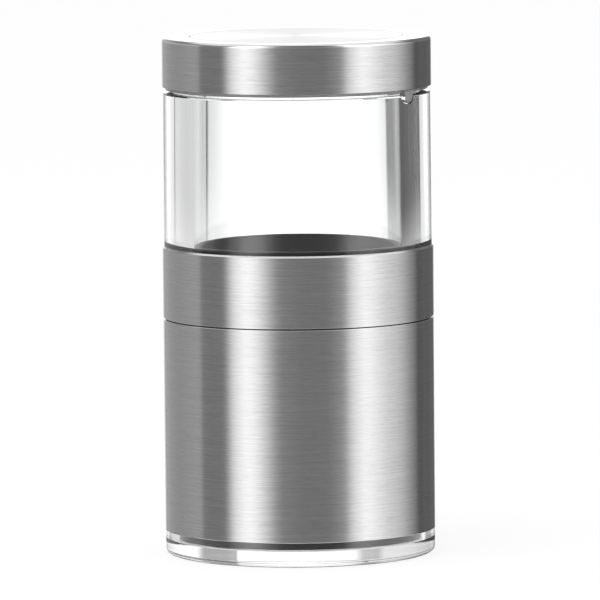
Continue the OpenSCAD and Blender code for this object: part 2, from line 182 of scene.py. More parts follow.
def standing(begin, full, falls, ends, level):
    """Brightness of an upright card with soft sides at one turn round the mill."""
    return sum_of(tree, fade(tree, turn, begin, full, 0.0, level),
                  fade(tree, turn, falls, ends, 1.0, 0.0), "MULTIPLY")


seen = DARK
for card in WALLS:
    seen = sum_of(tree, seen, standing(*card))
not_through = sum_of(tree, 1.0, clear_ray, "SUBTRACT")
seen = sum_of(tree, seen, sum_of(tree, standing(*MIRRORED_CARD), not_through, "MULTIPLY"))
ceiling = mixed(tree, clear_ray, CEILING, CLEAR_CEILING)
seen = mixed(tree, fade(tree, rise, *CEILING_RISE), seen, ceiling)
lit = 0.0
for card in SOFT_BOXES:
    lit = sum_of(tree, lit, standing(*card))
lit = sum_of(tree, lit, fade(tree, rise, *BOXES_END, 1.0, 0.0), "MULTIPLY")
seen = sum_of(tree, seen, lit)
away = one_of(tree, turn, "ABSOLUTE")
backdrop = sum_of(tree, BACKDROP, fade(tree, away, *BACKDROP_SWELL, 0.0, BACKDROP_MIDDLE))
backdrop = sum_of(tree, backdrop, fade(tree, away, *CORE_SWELL, 0.0, BACKDROP_CORE))
shade = sum_of(tree, standing(*MIRRORED_SHADE), not_through, "MULTIPLY")
seen = mixed(tree, fade(tree, away, *BACKDROP_EDGE), seen, sum_of(tree, backdrop, shade))
cloth = sum_of(tree, fade(tree, ray.outputs["Y"], *CLOTH_EDGE), fade(tree, rise, *CLOTH_RISE),
               "MULTIPLY")
seen = mixed(tree, cloth, seen, CLOTH)
seen = mixed(tree, fade(tree, rise, *FLOOR_FALL), seen, FLOOR)
low = one_of(tree, rise, "ABSOLUTE")
shapes = 0.0
for card in SHAPES:
    shapes = sum_of(tree, shapes, standing(*card))
table = sum_of(tree, sum_of(tree, shapes, fade(tree, low, *SHAPES_FROM), "MULTIPLY"), TABLE)
share = sum_of(tree, fade(tree, low, *TABLE_FROM), fade(tree, away, *TABLE_SIDE), "MULTIPLY")
seen = mixed(tree, sum_of(tree, share, clear_ray, "MULTIPLY"), seen, table)
mirrored = sum_of(tree, path.outputs["Is Glossy Ray"], clear_ray, "MAXIMUM")
background = shader(tree, "Background", {"Color": (1, 1, 1, 1),
                                         "Strength": mixed(tree, mirrored, 1.0, seen)})
shader(tree, "OutputWorld", {"Surface": background.outputs[0]})

LAMP_SIDE, LAMP_POWER = 0.7, 4.0
LAMP_AT, LAMP_TILT = (-0.35, -0.3, 0.9), math.radians(20)
lamp = bpy.data.objects.new("overhead_lamp", bpy.data.lights.new("overhead_lamp", "AREA"))
bpy.context.scene.collection.objects.link(lamp)
lamp.data.shape = "SQUARE"
lamp.data.size = LAMP_SIDE
lamp.data.energy = LAMP_POWER
lamp.location = LAMP_AT
lamp.rotation_euler = (LAMP_TILT, -LAMP_TILT, 0)
lamp.visible_camera = lamp.visible_glossy = lamp.visible_transmission = False

FLOOR_SIDE = 16.0
FLOOR_GLOW = 0.85
floor_mesh = bpy.data.meshes.new("floor")
floor_mesh.from_pydata([(x * FLOOR_SIDE / 2, y * FLOOR_SIDE / 2, 0.0)
                        for x, y in ((-1, -1), (1, -1), (1, 1), (-1, 1))], [], [(0, 1, 2, 3)])
floor = bpy.data.objects.new("floor", floor_mesh)
bpy.context.scene.collection.objects.link(floor)
floor.visible_glossy = floor.visible_transmission = False
pale = bpy.data.materials.new("pale_floor")
pale.use_nodes = True
tree = pale.node_tree
tree.nodes.clear()
path = shader(tree, "LightPath")
own_light = sum_of(tree, path.outputs["Is Camera Ray"], FLOOR_GLOW, "MULTIPLY")
own_light = sum_of(tree, own_light, path.outputs["Is Transmission Ray"], "MAXIMUM")
matt = shader(tree, "BsdfDiffuse", {"Color": (0.9, 0.9, 0.9, 1)})
glow = shader(tree, "Emission", {"Color": (1, 1, 1, 1), "Strength": 1.0})
both = shader(tree, "MixShader", {0: own_light, 1: matt.outputs[0], 2: glow.outputs[0]})
shader(tree, "OutputMaterial", {"Surface": both.outputs[0]})
floor_mesh.materials.append(pale)
floor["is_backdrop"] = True

# Clear foot cap
# A moulded cap of clear acrylic that closes the outlet and carries the mill: a floor, an outer
# rim that shows under the sleeve, and a spigot that plugs into the housing.
MM = 0.001
SMOOTH_TO = math.radians(35)


def eased(points, radius, steps=5, hold=0.03):
    """Rounds the corners of a closed outline of (radius, height) points.

    At a corner P with unit directions a and b along its two edges and the half angle h between
    them, the arc of radius R starts R / tan h from P on both sides, and its centre lies R / sin h
    along a + b. The arc turns from one of these points to the other in equal steps. One more
    point is held beyond each end, which keeps the flats flat in shading. Corners on the axis
    stay as they are.
    """
    p = np.asarray(points, float)
    off_axis = p[:, 0] > 1e-9
    r = np.where(off_axis, np.broadcast_to(np.asarray(radius, float), len(p)), 0.0)
    a, b = np.roll(p, 1, 0) - p, np.roll(p, -1, 0) - p
    a /= np.linalg.norm(a, axis=1, keepdims=True)
    b /= np.linalg.norm(b, axis=1, keepdims=True)
    half = np.arccos(np.clip((a * b).sum(1), -1, 1)) / 2
    reach = r / np.tan(half)
    middle = (a + b) / np.linalg.norm(a + b, axis=1, keepdims=True)
    centre = p + middle * (r / np.sin(half))[:, None]
    angle = (np.pi - 2 * half)[:, None]
    s = np.linspace(0, 1, steps + 1)
    start, end = p + a * reach[:, None], p + b * reach[:, None]
    arc = (centre[:, None]
           + (np.sin((1 - s) * angle) / np.sin(angle))[..., None] * (start - centre)[:, None]
           + (np.sin(s * angle) / np.sin(angle))[..., None] * (end - centre)[:, None])
    held = np.where(off_axis, hold, 0.0)[:, None]
    line = np.concatenate([(start + a * held)[:, None], arc, (end + b * held)[:, None]], 1)
    line = line.reshape(-1, 2)
    return line[np.linalg.norm(line - np.roll(line, 1, 0), axis=1) > 1e-6]


def piece(name, points, faces, material, caps=()):
    """Puts points in metres and four-sided faces into a mesh object. A face with two equal
    corners, as at a pole, becomes a triangle, points that no face uses are left out, and caps
    are flat ends of many corners."""
    low, high = faces[:, 0] == faces[:, 1], faces[:, 2] == faces[:, 3]
    threes = np.concatenate([faces[low & ~high][:, [0, 2, 3]], faces[high & ~low][:, :3]])
    fours = faces[~(low | high)]
    used, number = np.unique(np.concatenate([fours.ravel(), threes.ravel()]), return_inverse=True)
    fours, threes = (number[:fours.size].reshape(-1, 4).tolist(),
                     number[fours.size:].reshape(-1, 3).tolist())
    ends = [np.searchsorted(used, cap).tolist() for cap in caps]
    mesh = bpy.data.meshes.new(name)
    mesh.from_pydata(points.reshape(-1, 3)[used].tolist(), [], fours + threes + ends)
    mesh.shade_smooth()
    mesh.set_sharp_from_angle(angle=SMOOTH_TO)
    mesh.materials.append(material)
    made = bpy.data.objects.new(name, mesh)
    bpy.context.scene.collection.objects.link(made)
    return made


def woven(number, close=True):
    """Faces between each row of a grid of point numbers and the next, with the rows closed round
    unless told otherwise."""
    beside = np.roll(number, -1, 1) if close else number[:, 1:]
    here = number if close else number[:, :-1]
    return np.stack([here[:-1], beside[:-1], beside[1:], here[1:]], -1).reshape(-1, 4)


def turned(name, outline, material, around=256):
    """Carries a closed outline round the Z axis: its point (r, z) at turn t stands at
    (r cos t, r sin t, z). The outline runs anticlockwise, so the faces point outwards. Its part
    on the axis makes no faces, and the points there become single poles."""
    outline = np.asarray(outline, float)
    count = len(outline)
    t = np.linspace(0, 2 * np.pi, around, endpoint=False)[:, None]
    r, z = outline.T * MM
    points = np.stack(np.broadcast_arrays(np.cos(t) * r, np.sin(t) * r, z), -1)
    on_axis = outline[:, 0] < 1e-9
    number = np.arange(around * count).reshape(around, count)
    number[:, on_axis] = number[0, on_axis]
    beside = np.roll(number, -1, 0)
    j = np.flatnonzero(~(on_axis & np.roll(on_axis, -1)))
    k = (j + 1) % count
    faces = np.stack([number[:, j], beside[:, j], beside[:, k], number[:, k]], -1).reshape(-1, 4)
    return piece(name, points, faces, material)


def fit(made, body, slot, *replaced):
    """Fixes a finished piece to its body and hides the CAD nodes that it stands for. The name of
    its material slot is not used."""
    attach(made, body)
    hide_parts(*replaced)
    return made


def finish(name, colour, roughness, metallic=0.0, **others):
    """New material with its main shader, and the node tree to build its finish in."""
    made = bpy.data.materials.new(name)
    made.use_nodes = True
    main = made.node_tree.nodes["Principled BSDF"]
    main.inputs["Base Color"].default_value = (*colour, 1)
    main.inputs["Roughness"].default_value = roughness
    main.inputs["Metallic"].default_value = metallic
    for key, value in others.items():
        main.inputs[key.replace("_", " ")].default_value = value
    return made, made.node_tree, main


def effect(name, inputs, outputs):
    """Empty node group with number sockets, and its input and output nodes."""
    made = bpy.data.node_groups.new(name, "ShaderNodeTree")
    for label, value in inputs.items():
        socket = made.interface.new_socket(label, in_out="INPUT", socket_type="NodeSocketFloat")
        socket.default_value = value
    for label in outputs:
        made.interface.new_socket(label, in_out="OUTPUT", socket_type="NodeSocketFloat")
    return made, made.nodes.new("NodeGroupInput"), made.nodes.new("NodeGroupOutput")


def placed(tree, group, **values):
    """Puts an effect into a material with its own values."""
    made = tree.nodes.new("ShaderNodeGroup")
    made.node_tree = group
    for key, value in values.items():
        made.inputs[key].default_value = value
    return made.outputs


# Handling: faint soft patches where fingers have been, broken up by the fine lines of the skin.
handling, given, result = effect("handling", {"Patches": 55.0, "Amount": 1.0}, ["Smudge"])
place = shader(handling, "TexCoord").outputs["Object"]
patch = shader(handling, "TexNoise", {"Vector": place, "Scale": given.outputs["Patches"],
                                      "Detail": 2.0}).outputs["Fac"]
lines = shader(handling, "TexNoise", {"Vector": place, "Scale": 1400.0, "Detail": 1.0,
                                      "Distortion": 1.5}).outputs["Fac"]
patch = sum_of(handling, fade(handling, patch, 0.54, 0.70), given.outputs["Amount"], "MULTIPLY")
patch = sum_of(handling, patch, fade(handling, lines, 0.35, 0.65, 0.6, 1.0), "MULTIPLY")
handling.links.new(patch, result.inputs["Smudge"])

clear, tree, main = finish("clear_acrylic", (0.985, 0.99, 0.99), 0.0, IOR=1.49,
                           Transmission_Weight=1.0)
smudge = placed(tree, handling, Patches=45.0)["Smudge"]
tree.links.new(sum_of(tree, smudge, 0.03, "MULTIPLY"), main.inputs["Roughness"])

FOOT_R, FOOT_RIM, FOOT_FLOOR = 29.95, 5.5, 3.3
FOOT_RIM_IN = 27.1
SPIGOT_OUT, SPIGOT_IN, SPIGOT_TOP = 25.0, 22.8, 11.9
FOOT_SEAL, SEAL_DEPTH, SEAL_HALF = 9.2, 1.36, 0.9
foot = eased(
    [(0, 0), (FOOT_R, 0), (FOOT_R, FOOT_RIM), (FOOT_RIM_IN, FOOT_RIM), (FOOT_RIM_IN, FOOT_FLOOR),
     (SPIGOT_OUT, FOOT_FLOOR), (SPIGOT_OUT, FOOT_SEAL - SEAL_HALF),
     (SPIGOT_OUT - SEAL_DEPTH, FOOT_SEAL - SEAL_HALF),
     (SPIGOT_OUT - SEAL_DEPTH, FOOT_SEAL + SEAL_HALF), (SPIGOT_OUT, FOOT_SEAL + SEAL_HALF),
     (SPIGOT_OUT, SPIGOT_TOP), (SPIGOT_IN, SPIGOT_TOP), (SPIGOT_IN, FOOT_FLOOR), (0, FOOT_FLOOR)],
    [0, 1.2, 0.1, 0.1, 0.15, 0.15, 0.1, 0.1, 0.1, 0.1, 0.25, 0.25, 0.3, 0])
fit(turned("clear_foot", foot, clear, 360), "foot", "clear_acrylic", "foot_cap")

# Foot seal
# A ring of round rubber cord in the groove of the spigot, moulded, with the fine line of its
# mould round the inside and the outside. It grips the housing and keeps the herbs dry.
skin, given, result = effect("moulded_skin", {"Grain": 5000.0}, ["Height", "Shade"])
place = shader(skin, "TexCoord").outputs["Object"]
fine = shader(skin, "TexNoise", {"Vector": place, "Scale": given.outputs["Grain"], "Detail": 2.0,
                                 "Roughness": 0.6}).outputs["Fac"]
flow = shader(skin, "TexNoise", {"Vector": place, "Scale": 160.0, "Detail": 2.0}).outputs["Fac"]
skin.links.new(fine, result.inputs["Height"])
skin.links.new(fade(skin, sum_of(skin, fine, flow), 0.7, 1.3, 0.75, 1.25), result.inputs["Shade"])


def moulded(name, colour, roughness, grain, depth, **others):
    """Moulded plastic or rubber: a fine skin in relief, its colour and gloss a little uneven, and
    duller where it has been handled."""
    made, tree, main = finish(name, colour, roughness, **others)
    surface = placed(tree, skin, Grain=grain)
    tint = shader(tree, "VectorMath", {0: colour, "Scale": surface["Shade"]}, operation="SCALE")
    tree.links.new(tint.outputs[0], main.inputs["Base Color"])
    dull = sum_of(tree, placed(tree, handling)["Smudge"], 0.12, "MULTIPLY")
    gloss = sum_of(tree, sum_of(tree, surface["Shade"], roughness, "MULTIPLY"), dull)
    tree.links.new(gloss, main.inputs["Roughness"])
    relief = shader(tree, "Bump", {"Height": surface["Height"], "Strength": 1.0, "Distance": depth})
    tree.links.new(relief.outputs[0], main.inputs["Normal"])
    return made


rubber = moulded("black_rubber", (0.015, 0.015, 0.015), 0.5, 7000.0, 0.000004)


def cord_ring(name, radius, height, cord):
    """Ring of round cord: its outline is a circle, which swells by the flash of the mould at the
    two angles where the halves of the mould meet, as a high power of the cosine."""
    flash = 0.04
    a = np.linspace(0, 2 * np.pi, 48, endpoint=False)
    half = cord / 2 - flash + flash * np.cos(a) ** 60
    return turned(name, np.stack([radius + half * np.cos(a), height + half * np.sin(a)], 1),
                  rubber, 192)


CORD = 1.6
IN_GROOVE = SEAL_DEPTH - CORD / 2 - 0.05
fit(cord_ring("foot_ring", SPIGOT_OUT - IN_GROOVE, FOOT_SEAL, CORD), "foot", "black_rubber",
    "foot_seal")

# Housing
# The body of the fixed half, one moulding of black plastic: skirt, lip over the foot, shelf for
# the cutting plate, grinding chamber with its ribs, and the journal on which the hopper turns.
black = moulded("black_plastic", (0.006, 0.006, 0.0063), 0.38, 6000.0, 0.000003,
                Specular_IOR_Level=0.14)


def softened(name, node, ease, material, shortest=0.1, clamp=True):
    """Copy of a CAD solid with its edges eased, as a tool or a mould leaves them: its loose
    triangles are merged, its shortest edges are closed up, its flats are made whole, and every
    edge over 30 degrees is rounded."""
    mesh = nodes[node].data.copy()
    mesh.name = name
    work = bmesh.new()
    work.from_mesh(mesh)
    bmesh.ops.remove_doubles(work, verts=work.verts, dist=2e-6)
    bmesh.ops.dissolve_degenerate(work, dist=shortest * MM, edges=work.edges)
    bmesh.ops.dissolve_limit(work, angle_limit=math.radians(0.5), verts=work.verts,
                             edges=work.edges)
    work.to_mesh(mesh)
    work.free()
    mesh.materials.clear()
    mesh.materials.append(material)
    mesh.shade_smooth()
    made = bpy.data.objects.new(name, mesh)
    bpy.context.scene.collection.objects.link(made)
    bevel = made.modifiers.new("eased_edges", "BEVEL")
    bevel.width, bevel.segments = ease * MM, 2
    bevel.limit_method, bevel.angle_limit = "ANGLE", math.radians(30)
    bevel.use_clamp_overlap = clamp
    made.modifiers.new("flat_flats", "WEIGHTED_NORMAL").keep_sharp = True
    return made


fit(softened("housing", "base_housing", 0.08, black), "base", "black_plastic", "base_housing")

# Sleeve
# A deep-drawn tube of stainless steel, brushed round its length on a lathe, with its two edges
# broken and polished. The hand holds it. It is pressed over the housing.
brushing, given, result = effect("brushing", {"Lines": 5200.0, "Run": 45.0, "Strength": 0.1},
                                 ["Shade", "Height"])
place = shader(brushing, "SeparateXYZ", {0: shader(brushing, "TexCoord").outputs["Object"]})
flat = shader(brushing, "CombineXYZ", {"X": place.outputs["X"], "Y": place.outputs["Y"]})
reach = shader(brushing, "VectorMath", {0: flat.outputs[0]}, operation="LENGTH").outputs["Value"]
across = sum_of(brushing, reach, place.outputs["Z"])


def strokes(lines, run):
    """Noise drawn out along the strokes of the brush: it changes fast with height on a wall and
    with radius on a top, and slowly round the axis."""
    along = shader(brushing, "VectorMath", {0: flat.outputs[0], "Scale": run}, operation="SCALE")
    along = shader(brushing, "SeparateXYZ", {0: along.outputs[0]})
    at = shader(brushing, "CombineXYZ", {"X": along.outputs["X"], "Y": along.outputs["Y"],
                                         "Z": sum_of(brushing, across, lines, "MULTIPLY")})
    return shader(brushing, "TexNoise", {"Vector": at.outputs[0], "Scale": 1.0, "Detail": 3.0,
                                         "Roughness": 0.65}).outputs["Fac"]


long_strokes = strokes(given.outputs["Lines"], given.outputs["Run"])
short_strokes = strokes(sum_of(brushing, given.outputs["Lines"], 2.3, "MULTIPLY"),
                        sum_of(brushing, given.outputs["Run"], 6.0, "MULTIPLY"))
height = sum_of(brushing, long_strokes, short_strokes)
shade = sum_of(brushing, height, 1.0, "SUBTRACT")
shade = sum_of(brushing, sum_of(brushing, shade, given.outputs["Strength"], "MULTIPLY"), 1.0)
brushing.links.new(shade, result.inputs["Shade"])
brushing.links.new(height, result.inputs["Height"])


def metal(name, colour, roughness, lines, run, strength, depth, **others):
    """Metal with the marks of its finishing, in colour, gloss and relief."""
    made, tree, main = finish(name, colour, roughness, 1.0, **others)
    marks = placed(tree, brushing, Lines=lines, Run=run, Strength=strength)
    tint = shader(tree, "VectorMath", {0: colour, "Scale": marks["Shade"]}, operation="SCALE")
    tree.links.new(tint.outputs[0], main.inputs["Base Color"])
    smudge = placed(tree, handling, Patches=38.0)["Smudge"]
    gloss = sum_of(tree, marks["Shade"], roughness, "MULTIPLY")
    gloss = sum_of(tree, gloss, sum_of(tree, smudge, 0.03, "MULTIPLY"))
    tree.links.new(gloss, main.inputs["Roughness"])
    relief = shader(tree, "Bump", {"Height": marks["Height"], "Strength": 1.0, "Distance": depth})
    tree.links.new(relief.outputs[0], main.inputs["Normal"])
    return made, tree, main, tint.outputs[0], gloss


STEEL, POLISHED = (0.36, 0.36, 0.36), (0.62, 0.62, 0.62, 1)
steel, tree, main, tint, gloss = metal("brushed_steel", STEEL, 0.22, 3600.0, 80.0, 0.42, 2e-7,
                                       Anisotropic=0.9, Anisotropic_Rotation=0.25)
edge = shader(tree, "Attribute", attribute_name="polished").outputs["Fac"]
tint = shader(tree, "Mix", {0: edge, 6: tint, 7: POLISHED}, data_type="RGBA").outputs[2]
tree.links.new(tint, main.inputs["Base Color"])
tree.links.new(mixed(tree, edge, gloss, 0.12), main.inputs["Roughness"])
around_axis = shader(tree, "Tangent", direction_type="RADIAL", axis="Z")
tree.links.new(around_axis.outputs[0], main.inputs["Tangent"])


def polish(made, *bands):
    """Marks the points of a turned piece that lie between two heights and outside a radius as
    polished, for the steel's finish."""
    points = np.empty(len(made.data.vertices) * 3, np.float32)
    made.data.vertices.foreach_get("co", points)
    x, y, z = points.reshape(-1, 3).T / MM
    r = np.hypot(x, y)
    mask = np.zeros(len(r), np.float32)
    for low, high, inner in bands:
        mask[(z > low) & (z < high) & (r > inner)] = 1.0
    made.data.attributes.new("polished", "FLOAT", "POINT").data.foreach_set("value", mask)
    return made


def sheet_tube(name, r, low, high, low_bevel, high_bevel):
    """Thin tube of sheet steel with its outer edges broken at 45 degrees and polished."""
    wall, ease = 0.7, 0.02
    outline = eased([(r - wall, low), (r - low_bevel, low), (r, low + low_bevel),
                     (r, high - high_bevel), (r - high_bevel, high), (r - wall, high)],
                    ease, 3, 0.015)
    inner = r - wall / 2
    return polish(turned(name, outline, steel),
                  (low - ease, low + low_bevel + ease / 2, inner),
                  (high - high_bevel - ease / 2, high + ease, inner))


SLEEVE_R, SEAM_LOW, SEAM_HIGH = 29.95, 52.175, 52.425
FOOT_BEVEL, SEAM_BEVEL = 0.06, 0.15
fit(sheet_tube("steel_sleeve", SLEEVE_R, FOOT_RIM, SEAM_LOW, FOOT_BEVEL, SEAM_BEVEL), "base",
    "brushed_steel", "sleeve")

# Cutting plate and its screws
# A stamped and ground stainless disc with skewed slots, held under the shelf by three small
# socket screws of machined steel.
blade_steel = metal("blade_steel", (0.5, 0.5, 0.505), 0.28, 9000.0, 300.0, 0.25, 4e-7)[0]
fastener_steel = metal("fastener_steel", (0.45, 0.45, 0.455), 0.3, 12000.0, 90.0, 0.2, 3e-7)[0]
fit(softened("slotted_plate", "cutting_plate", 0.05, blade_steel), "base", "blade_steel",
    "cutting_plate")
fit(softened("plate_fixings", "plate_screws", 0.07, fastener_steel), "base", "fastener_steel",
    "plate_screws")

# Shaft bush
# A flanged bush of sintered bronze, soaked with oil and pressed into the cutting plate. Its
# pores show as fine dark specks.
bronze, tree, main = finish("bronze", (0.55, 0.36, 0.18), 0.42, 1.0)
place = shader(tree, "TexCoord").outputs["Object"]
pores = shader(tree, "TexNoise", {"Vector": place, "Scale": 4500.0, "Detail": 3.0}).outputs["Fac"]
ramp = shader(tree, "ValToRGB", {0: pores})
ramp.color_ramp.elements[0].position, ramp.color_ramp.elements[1].position = 0.36, 0.5
ramp.color_ramp.elements[0].color = (0.16, 0.09, 0.04, 1)
ramp.color_ramp.elements[1].color = (0.55, 0.36, 0.18, 1)
tree.links.new(ramp.outputs[0], main.inputs["Base Color"])
tree.links.new(fade(tree, pores, 0.3, 0.6, 0.6, 0.34), main.inputs["Roughness"])
BUSH_BORE, BUSH_WALL, BUSH_FLANGE = 2.55, 4.5, 6.5
BUSH_LOW, FLANGE_LOW, PLATE_LOW, PLATE_TOP = 13.4, 15.6, 16.8, 18.0
bush = eased([(BUSH_BORE, BUSH_LOW), (BUSH_WALL, BUSH_LOW), (BUSH_WALL, FLANGE_LOW),
              (BUSH_FLANGE, FLANGE_LOW), (BUSH_FLANGE, PLATE_LOW), (BUSH_WALL, PLATE_LOW),
              (BUSH_WALL, PLATE_TOP), (BUSH_BORE, PLATE_TOP)],
             [0.2, 0.2, 0.1, 0.15, 0.15, 0.05, 0.2, 0.2], 3)
fit(turned("flanged_bush", bush, bronze, 96), "base", "bronze", "shaft_bush")

# Glide ring
# A loose ring of glass-filled nylon in the top of the housing, on which the hopper's carrier
# slides.
nylon = moulded("grey_nylon", (0.06, 0.06, 0.065), 0.45, 4500.0, 0.000006)
GLIDE_IN, GLIDE_OUT, GLIDE_LOW, GLIDE_TOP = 26.3, 28.6, 51.4, 53.2
glide = eased([(GLIDE_IN, GLIDE_LOW), (GLIDE_OUT, GLIDE_LOW), (GLIDE_OUT, GLIDE_TOP),
               (GLIDE_IN, GLIDE_TOP)], [0.1, 0.1, 0.2, 0.2], 3)
fit(turned("slip_ring", glide, nylon), "base", "grey_nylon", "glide_ring")

# Collar
# The upper steel tube, which the other hand turns. It is brushed as the sleeve is, and its top
# edge carries a wider polished bevel round the clear tube.
COLLAR_R, COLLAR_TOP, TOP_BEVEL = 29.99, 68.3, 0.35
fit(sheet_tube("steel_collar", COLLAR_R, SEAM_HIGH, COLLAR_TOP, SEAM_BEVEL, TOP_BEVEL), "hopper",
    "brushed_steel", "collar")

# Carrier and its seal
# A moulding of black plastic under the clear tube. Its spigot turns in the housing, its flange
# is glued to collar and tube, and a rubber ring seals the joint under the tube.
fit(softened("carrier", "hopper_carrier", 0.15, black), "hopper", "black_plastic", "hopper_carrier")
TUBE_RING_R, TUBE_RING_HEIGHT, TUBE_CORD = 26.175, 57.35, 1.3
fit(cord_ring("tube_ring", TUBE_RING_R, TUBE_RING_HEIGHT, TUBE_CORD), "hopper", "black_rubber",
    "tube_seal")

# Hopper funnel
# A funnel of black plastic at the bottom of the clear tube. Its thin lip shows as a black
# ellipse above the collar.
TUBE_LOW = 58.0
THROAT_R, FUNNEL_R, FUNNEL_LIP_R, FUNNEL_TOP = 19.5, 22.87, 21.67, 68.85
funnel = eased([(THROAT_R, TUBE_LOW), (FUNNEL_R, TUBE_LOW), (FUNNEL_R, FUNNEL_TOP),
                (FUNNEL_LIP_R, FUNNEL_TOP)], [0.1, 0.1, 0.55, 0.5], 6)
fit(turned("black_funnel", funnel, black), "hopper", "black_plastic", "hopper_funnel")

# Hopper tube
# A thick moulded tube of clear acrylic. It is stepped down where it is glued into the collar,
# its neck enters the lid, and a notch in its shoulder takes the lid's tongue.
NECK_R, SHOULDER, NECK_TOP = 27.5, 102.3, 111.5
NECK_SEAL = 107.1
KEY_TURN = math.radians(-33.6)
# The bore and the outside both widen a little downwards, for the draft of the mould.
BORE_LOW, BORE_TOP, TUBE_R_LOW, TUBE_R_TOP = 23.1, 22.65, 29.68, 29.55
IN_COLLAR_R, CUT_SHOULDER_R, CUT_SHOULDER = 29.25, 29.25, 102.0
tube = eased([(BORE_LOW, TUBE_LOW), (IN_COLLAR_R, TUBE_LOW), (IN_COLLAR_R, COLLAR_TOP),
              (TUBE_R_LOW, COLLAR_TOP), (TUBE_R_TOP, CUT_SHOULDER), (CUT_SHOULDER_R, SHOULDER),
              (NECK_R, SHOULDER), (NECK_R, NECK_SEAL - SEAL_HALF),
              (NECK_R - SEAL_DEPTH, NECK_SEAL - SEAL_HALF),
              (NECK_R - SEAL_DEPTH, NECK_SEAL + SEAL_HALF), (NECK_R, NECK_SEAL + SEAL_HALF),
              (NECK_R, NECK_TOP), (BORE_TOP, NECK_TOP)],
             [0.1, 0.1, 0.05, 0.05, 0.1, 0.1, 0.1, 0.1, 0.1, 0.1, 0.1, 0.3, 0.3], 3)


def tongue(name, wide, inner, outer, low, high, ease, material):
    """Block with a round lower end, carried straight out from the inner to the outer radius and
    turned to its place on the rim. At each end its outline shrinks by the rounding of the edge,
    which follows a quarter of a circle."""
    half = wide / 2
    a = np.linspace(np.pi, 2 * np.pi, 25)
    across = np.concatenate([np.cos(a), [1.0, -1.0]])
    up = np.concatenate([np.sin(a), [0.0, 0.0]])
    quarter = np.linspace(0, np.pi / 2, 5)
    depth = np.concatenate([inner + ease * (1 - np.cos(quarter)),
                            outer - ease * (1 - np.cos(quarter[::-1]))])[:, None]
    size = half - ease * np.concatenate([1 - np.sin(quarter), 1 - np.sin(quarter[::-1])])[:, None]
    side = across * size
    z = np.where(np.arange(len(up)) < len(a), low + half + up * size, high)
    c, s = np.cos(KEY_TURN), np.sin(KEY_TURN)
    points = np.stack([c * depth - s * side, s * depth + c * side, z], -1) * MM
    number = np.arange(side.size).reshape(side.shape)
    return piece(name, points, woven(number), material, (number[0][::-1], number[-1]))


def joined(made, other, operation):
    """Cuts one closed piece from another, or joins both, and keeps only the result."""
    change = made.modifiers.new(operation.lower(), "BOOLEAN")
    change.operation, change.object, change.solver = operation, other, "EXACT"
    seen = made.evaluated_get(bpy.context.evaluated_depsgraph_get())
    mesh = bpy.data.meshes.new_from_object(seen)
    made.modifiers.clear()
    old, made.data = made.data, mesh
    bpy.data.meshes.remove(old)
    bpy.data.objects.remove(other)
    mesh.set_sharp_from_angle(angle=SMOOTH_TO)
    return made


NOTCH_WIDE, NOTCH_IN, NOTCH_OUT, NOTCH_LOW, NOTCH_HIGH = 3.3, 27.52, 31.0, 100.4, 104.5
KEY_EDGE = 0.12
notch = tongue("notch", NOTCH_WIDE, NOTCH_IN, NOTCH_OUT, NOTCH_LOW, NOTCH_HIGH, KEY_EDGE, clear)
fit(joined(turned("clear_hopper_tube", tube, clear, 360), notch, "DIFFERENCE"), "hopper",
    "clear_acrylic", "hopper_tube")

# Neck seal
# A ring of rubber cord in the groove round the neck of the tube, moulded as the foot's ring is.
# It grips the lid's liner and keeps the aroma in.
fit(cord_ring("neck_ring", NECK_R - IN_GROOVE, NECK_SEAL, CORD), "hopper", "black_rubber",
    "neck_seal")

# Drive spider and its screws
# A three-armed spider of glass-filled nylon across the throat, which carries the shaft. Three
# socket screws from below fix it in the carrier.
fit(softened("spider", "drive_spider", 0.12, nylon, clamp=False), "hopper", "grey_nylon",
    "drive_spider")
fit(softened("spider_fixings", "spider_screws", 0.07, fastener_steel), "hopper", "fastener_steel",
    "spider_screws")

# Drive shaft
# A shaft of stainless bar, machined in one piece: a round head, a square that drives the rotor,
# a groove for the clip, a round journal for the bush, and an M4 thread for the lock nut.
SQUARE, JOURNAL, THREAD, HEAD = 2.5, 2.5, 2.0, 4.5
PITCH, THREAD_DEPTH, CORNER = 0.7, 0.32, 1.37
SHAFT_LOW, JOURNAL_LOW, SQUARE_LOW, HEAD_LOW, SHAFT_TOP = 8.3, 13.3, 18.6, 52.0, 53.6
GROOVE_LOW, GROOVE_HIGH, GROOVE_R = 45.15, 45.95, 2.3
# Height, size and form of each row of the shaft, from the bottom up: form 0 is round, 1 is
# threaded and 2 is square.
thread_rows = np.arange(8.7, 13.2, PITCH / 8)
levels = [(SHAFT_LOW, 0.0, 0), (SHAFT_LOW, THREAD - 0.4, 0), (8.62, THREAD - 0.1, 0)]
levels += [(z, THREAD, 1) for z in thread_rows]
levels += [(13.25, THREAD - 0.25, 0), (JOURNAL_LOW, THREAD, 0), (JOURNAL_LOW, JOURNAL - 0.2, 0),
           (13.5, JOURNAL, 0), (18.55, JOURNAL, 0), (SQUARE_LOW, SQUARE, 2),
           (GROOVE_LOW, SQUARE, 2), (GROOVE_LOW + 0.01, GROOVE_R, 0),
           (GROOVE_HIGH - 0.01, GROOVE_R, 0), (GROOVE_HIGH, SQUARE, 2), (HEAD_LOW, SQUARE, 2),
           (HEAD_LOW, HEAD - 0.1, 0), (52.1, HEAD, 0), (53.3, HEAD, 0), (53.52, HEAD - 0.1, 0),
           (SHAFT_TOP, HEAD - 0.3, 0), (SHAFT_TOP, 0.0, 0)]
z, size, form = np.array(levels).T[:, :, None]
t = np.linspace(0, 2 * np.pi, 96, endpoint=False)
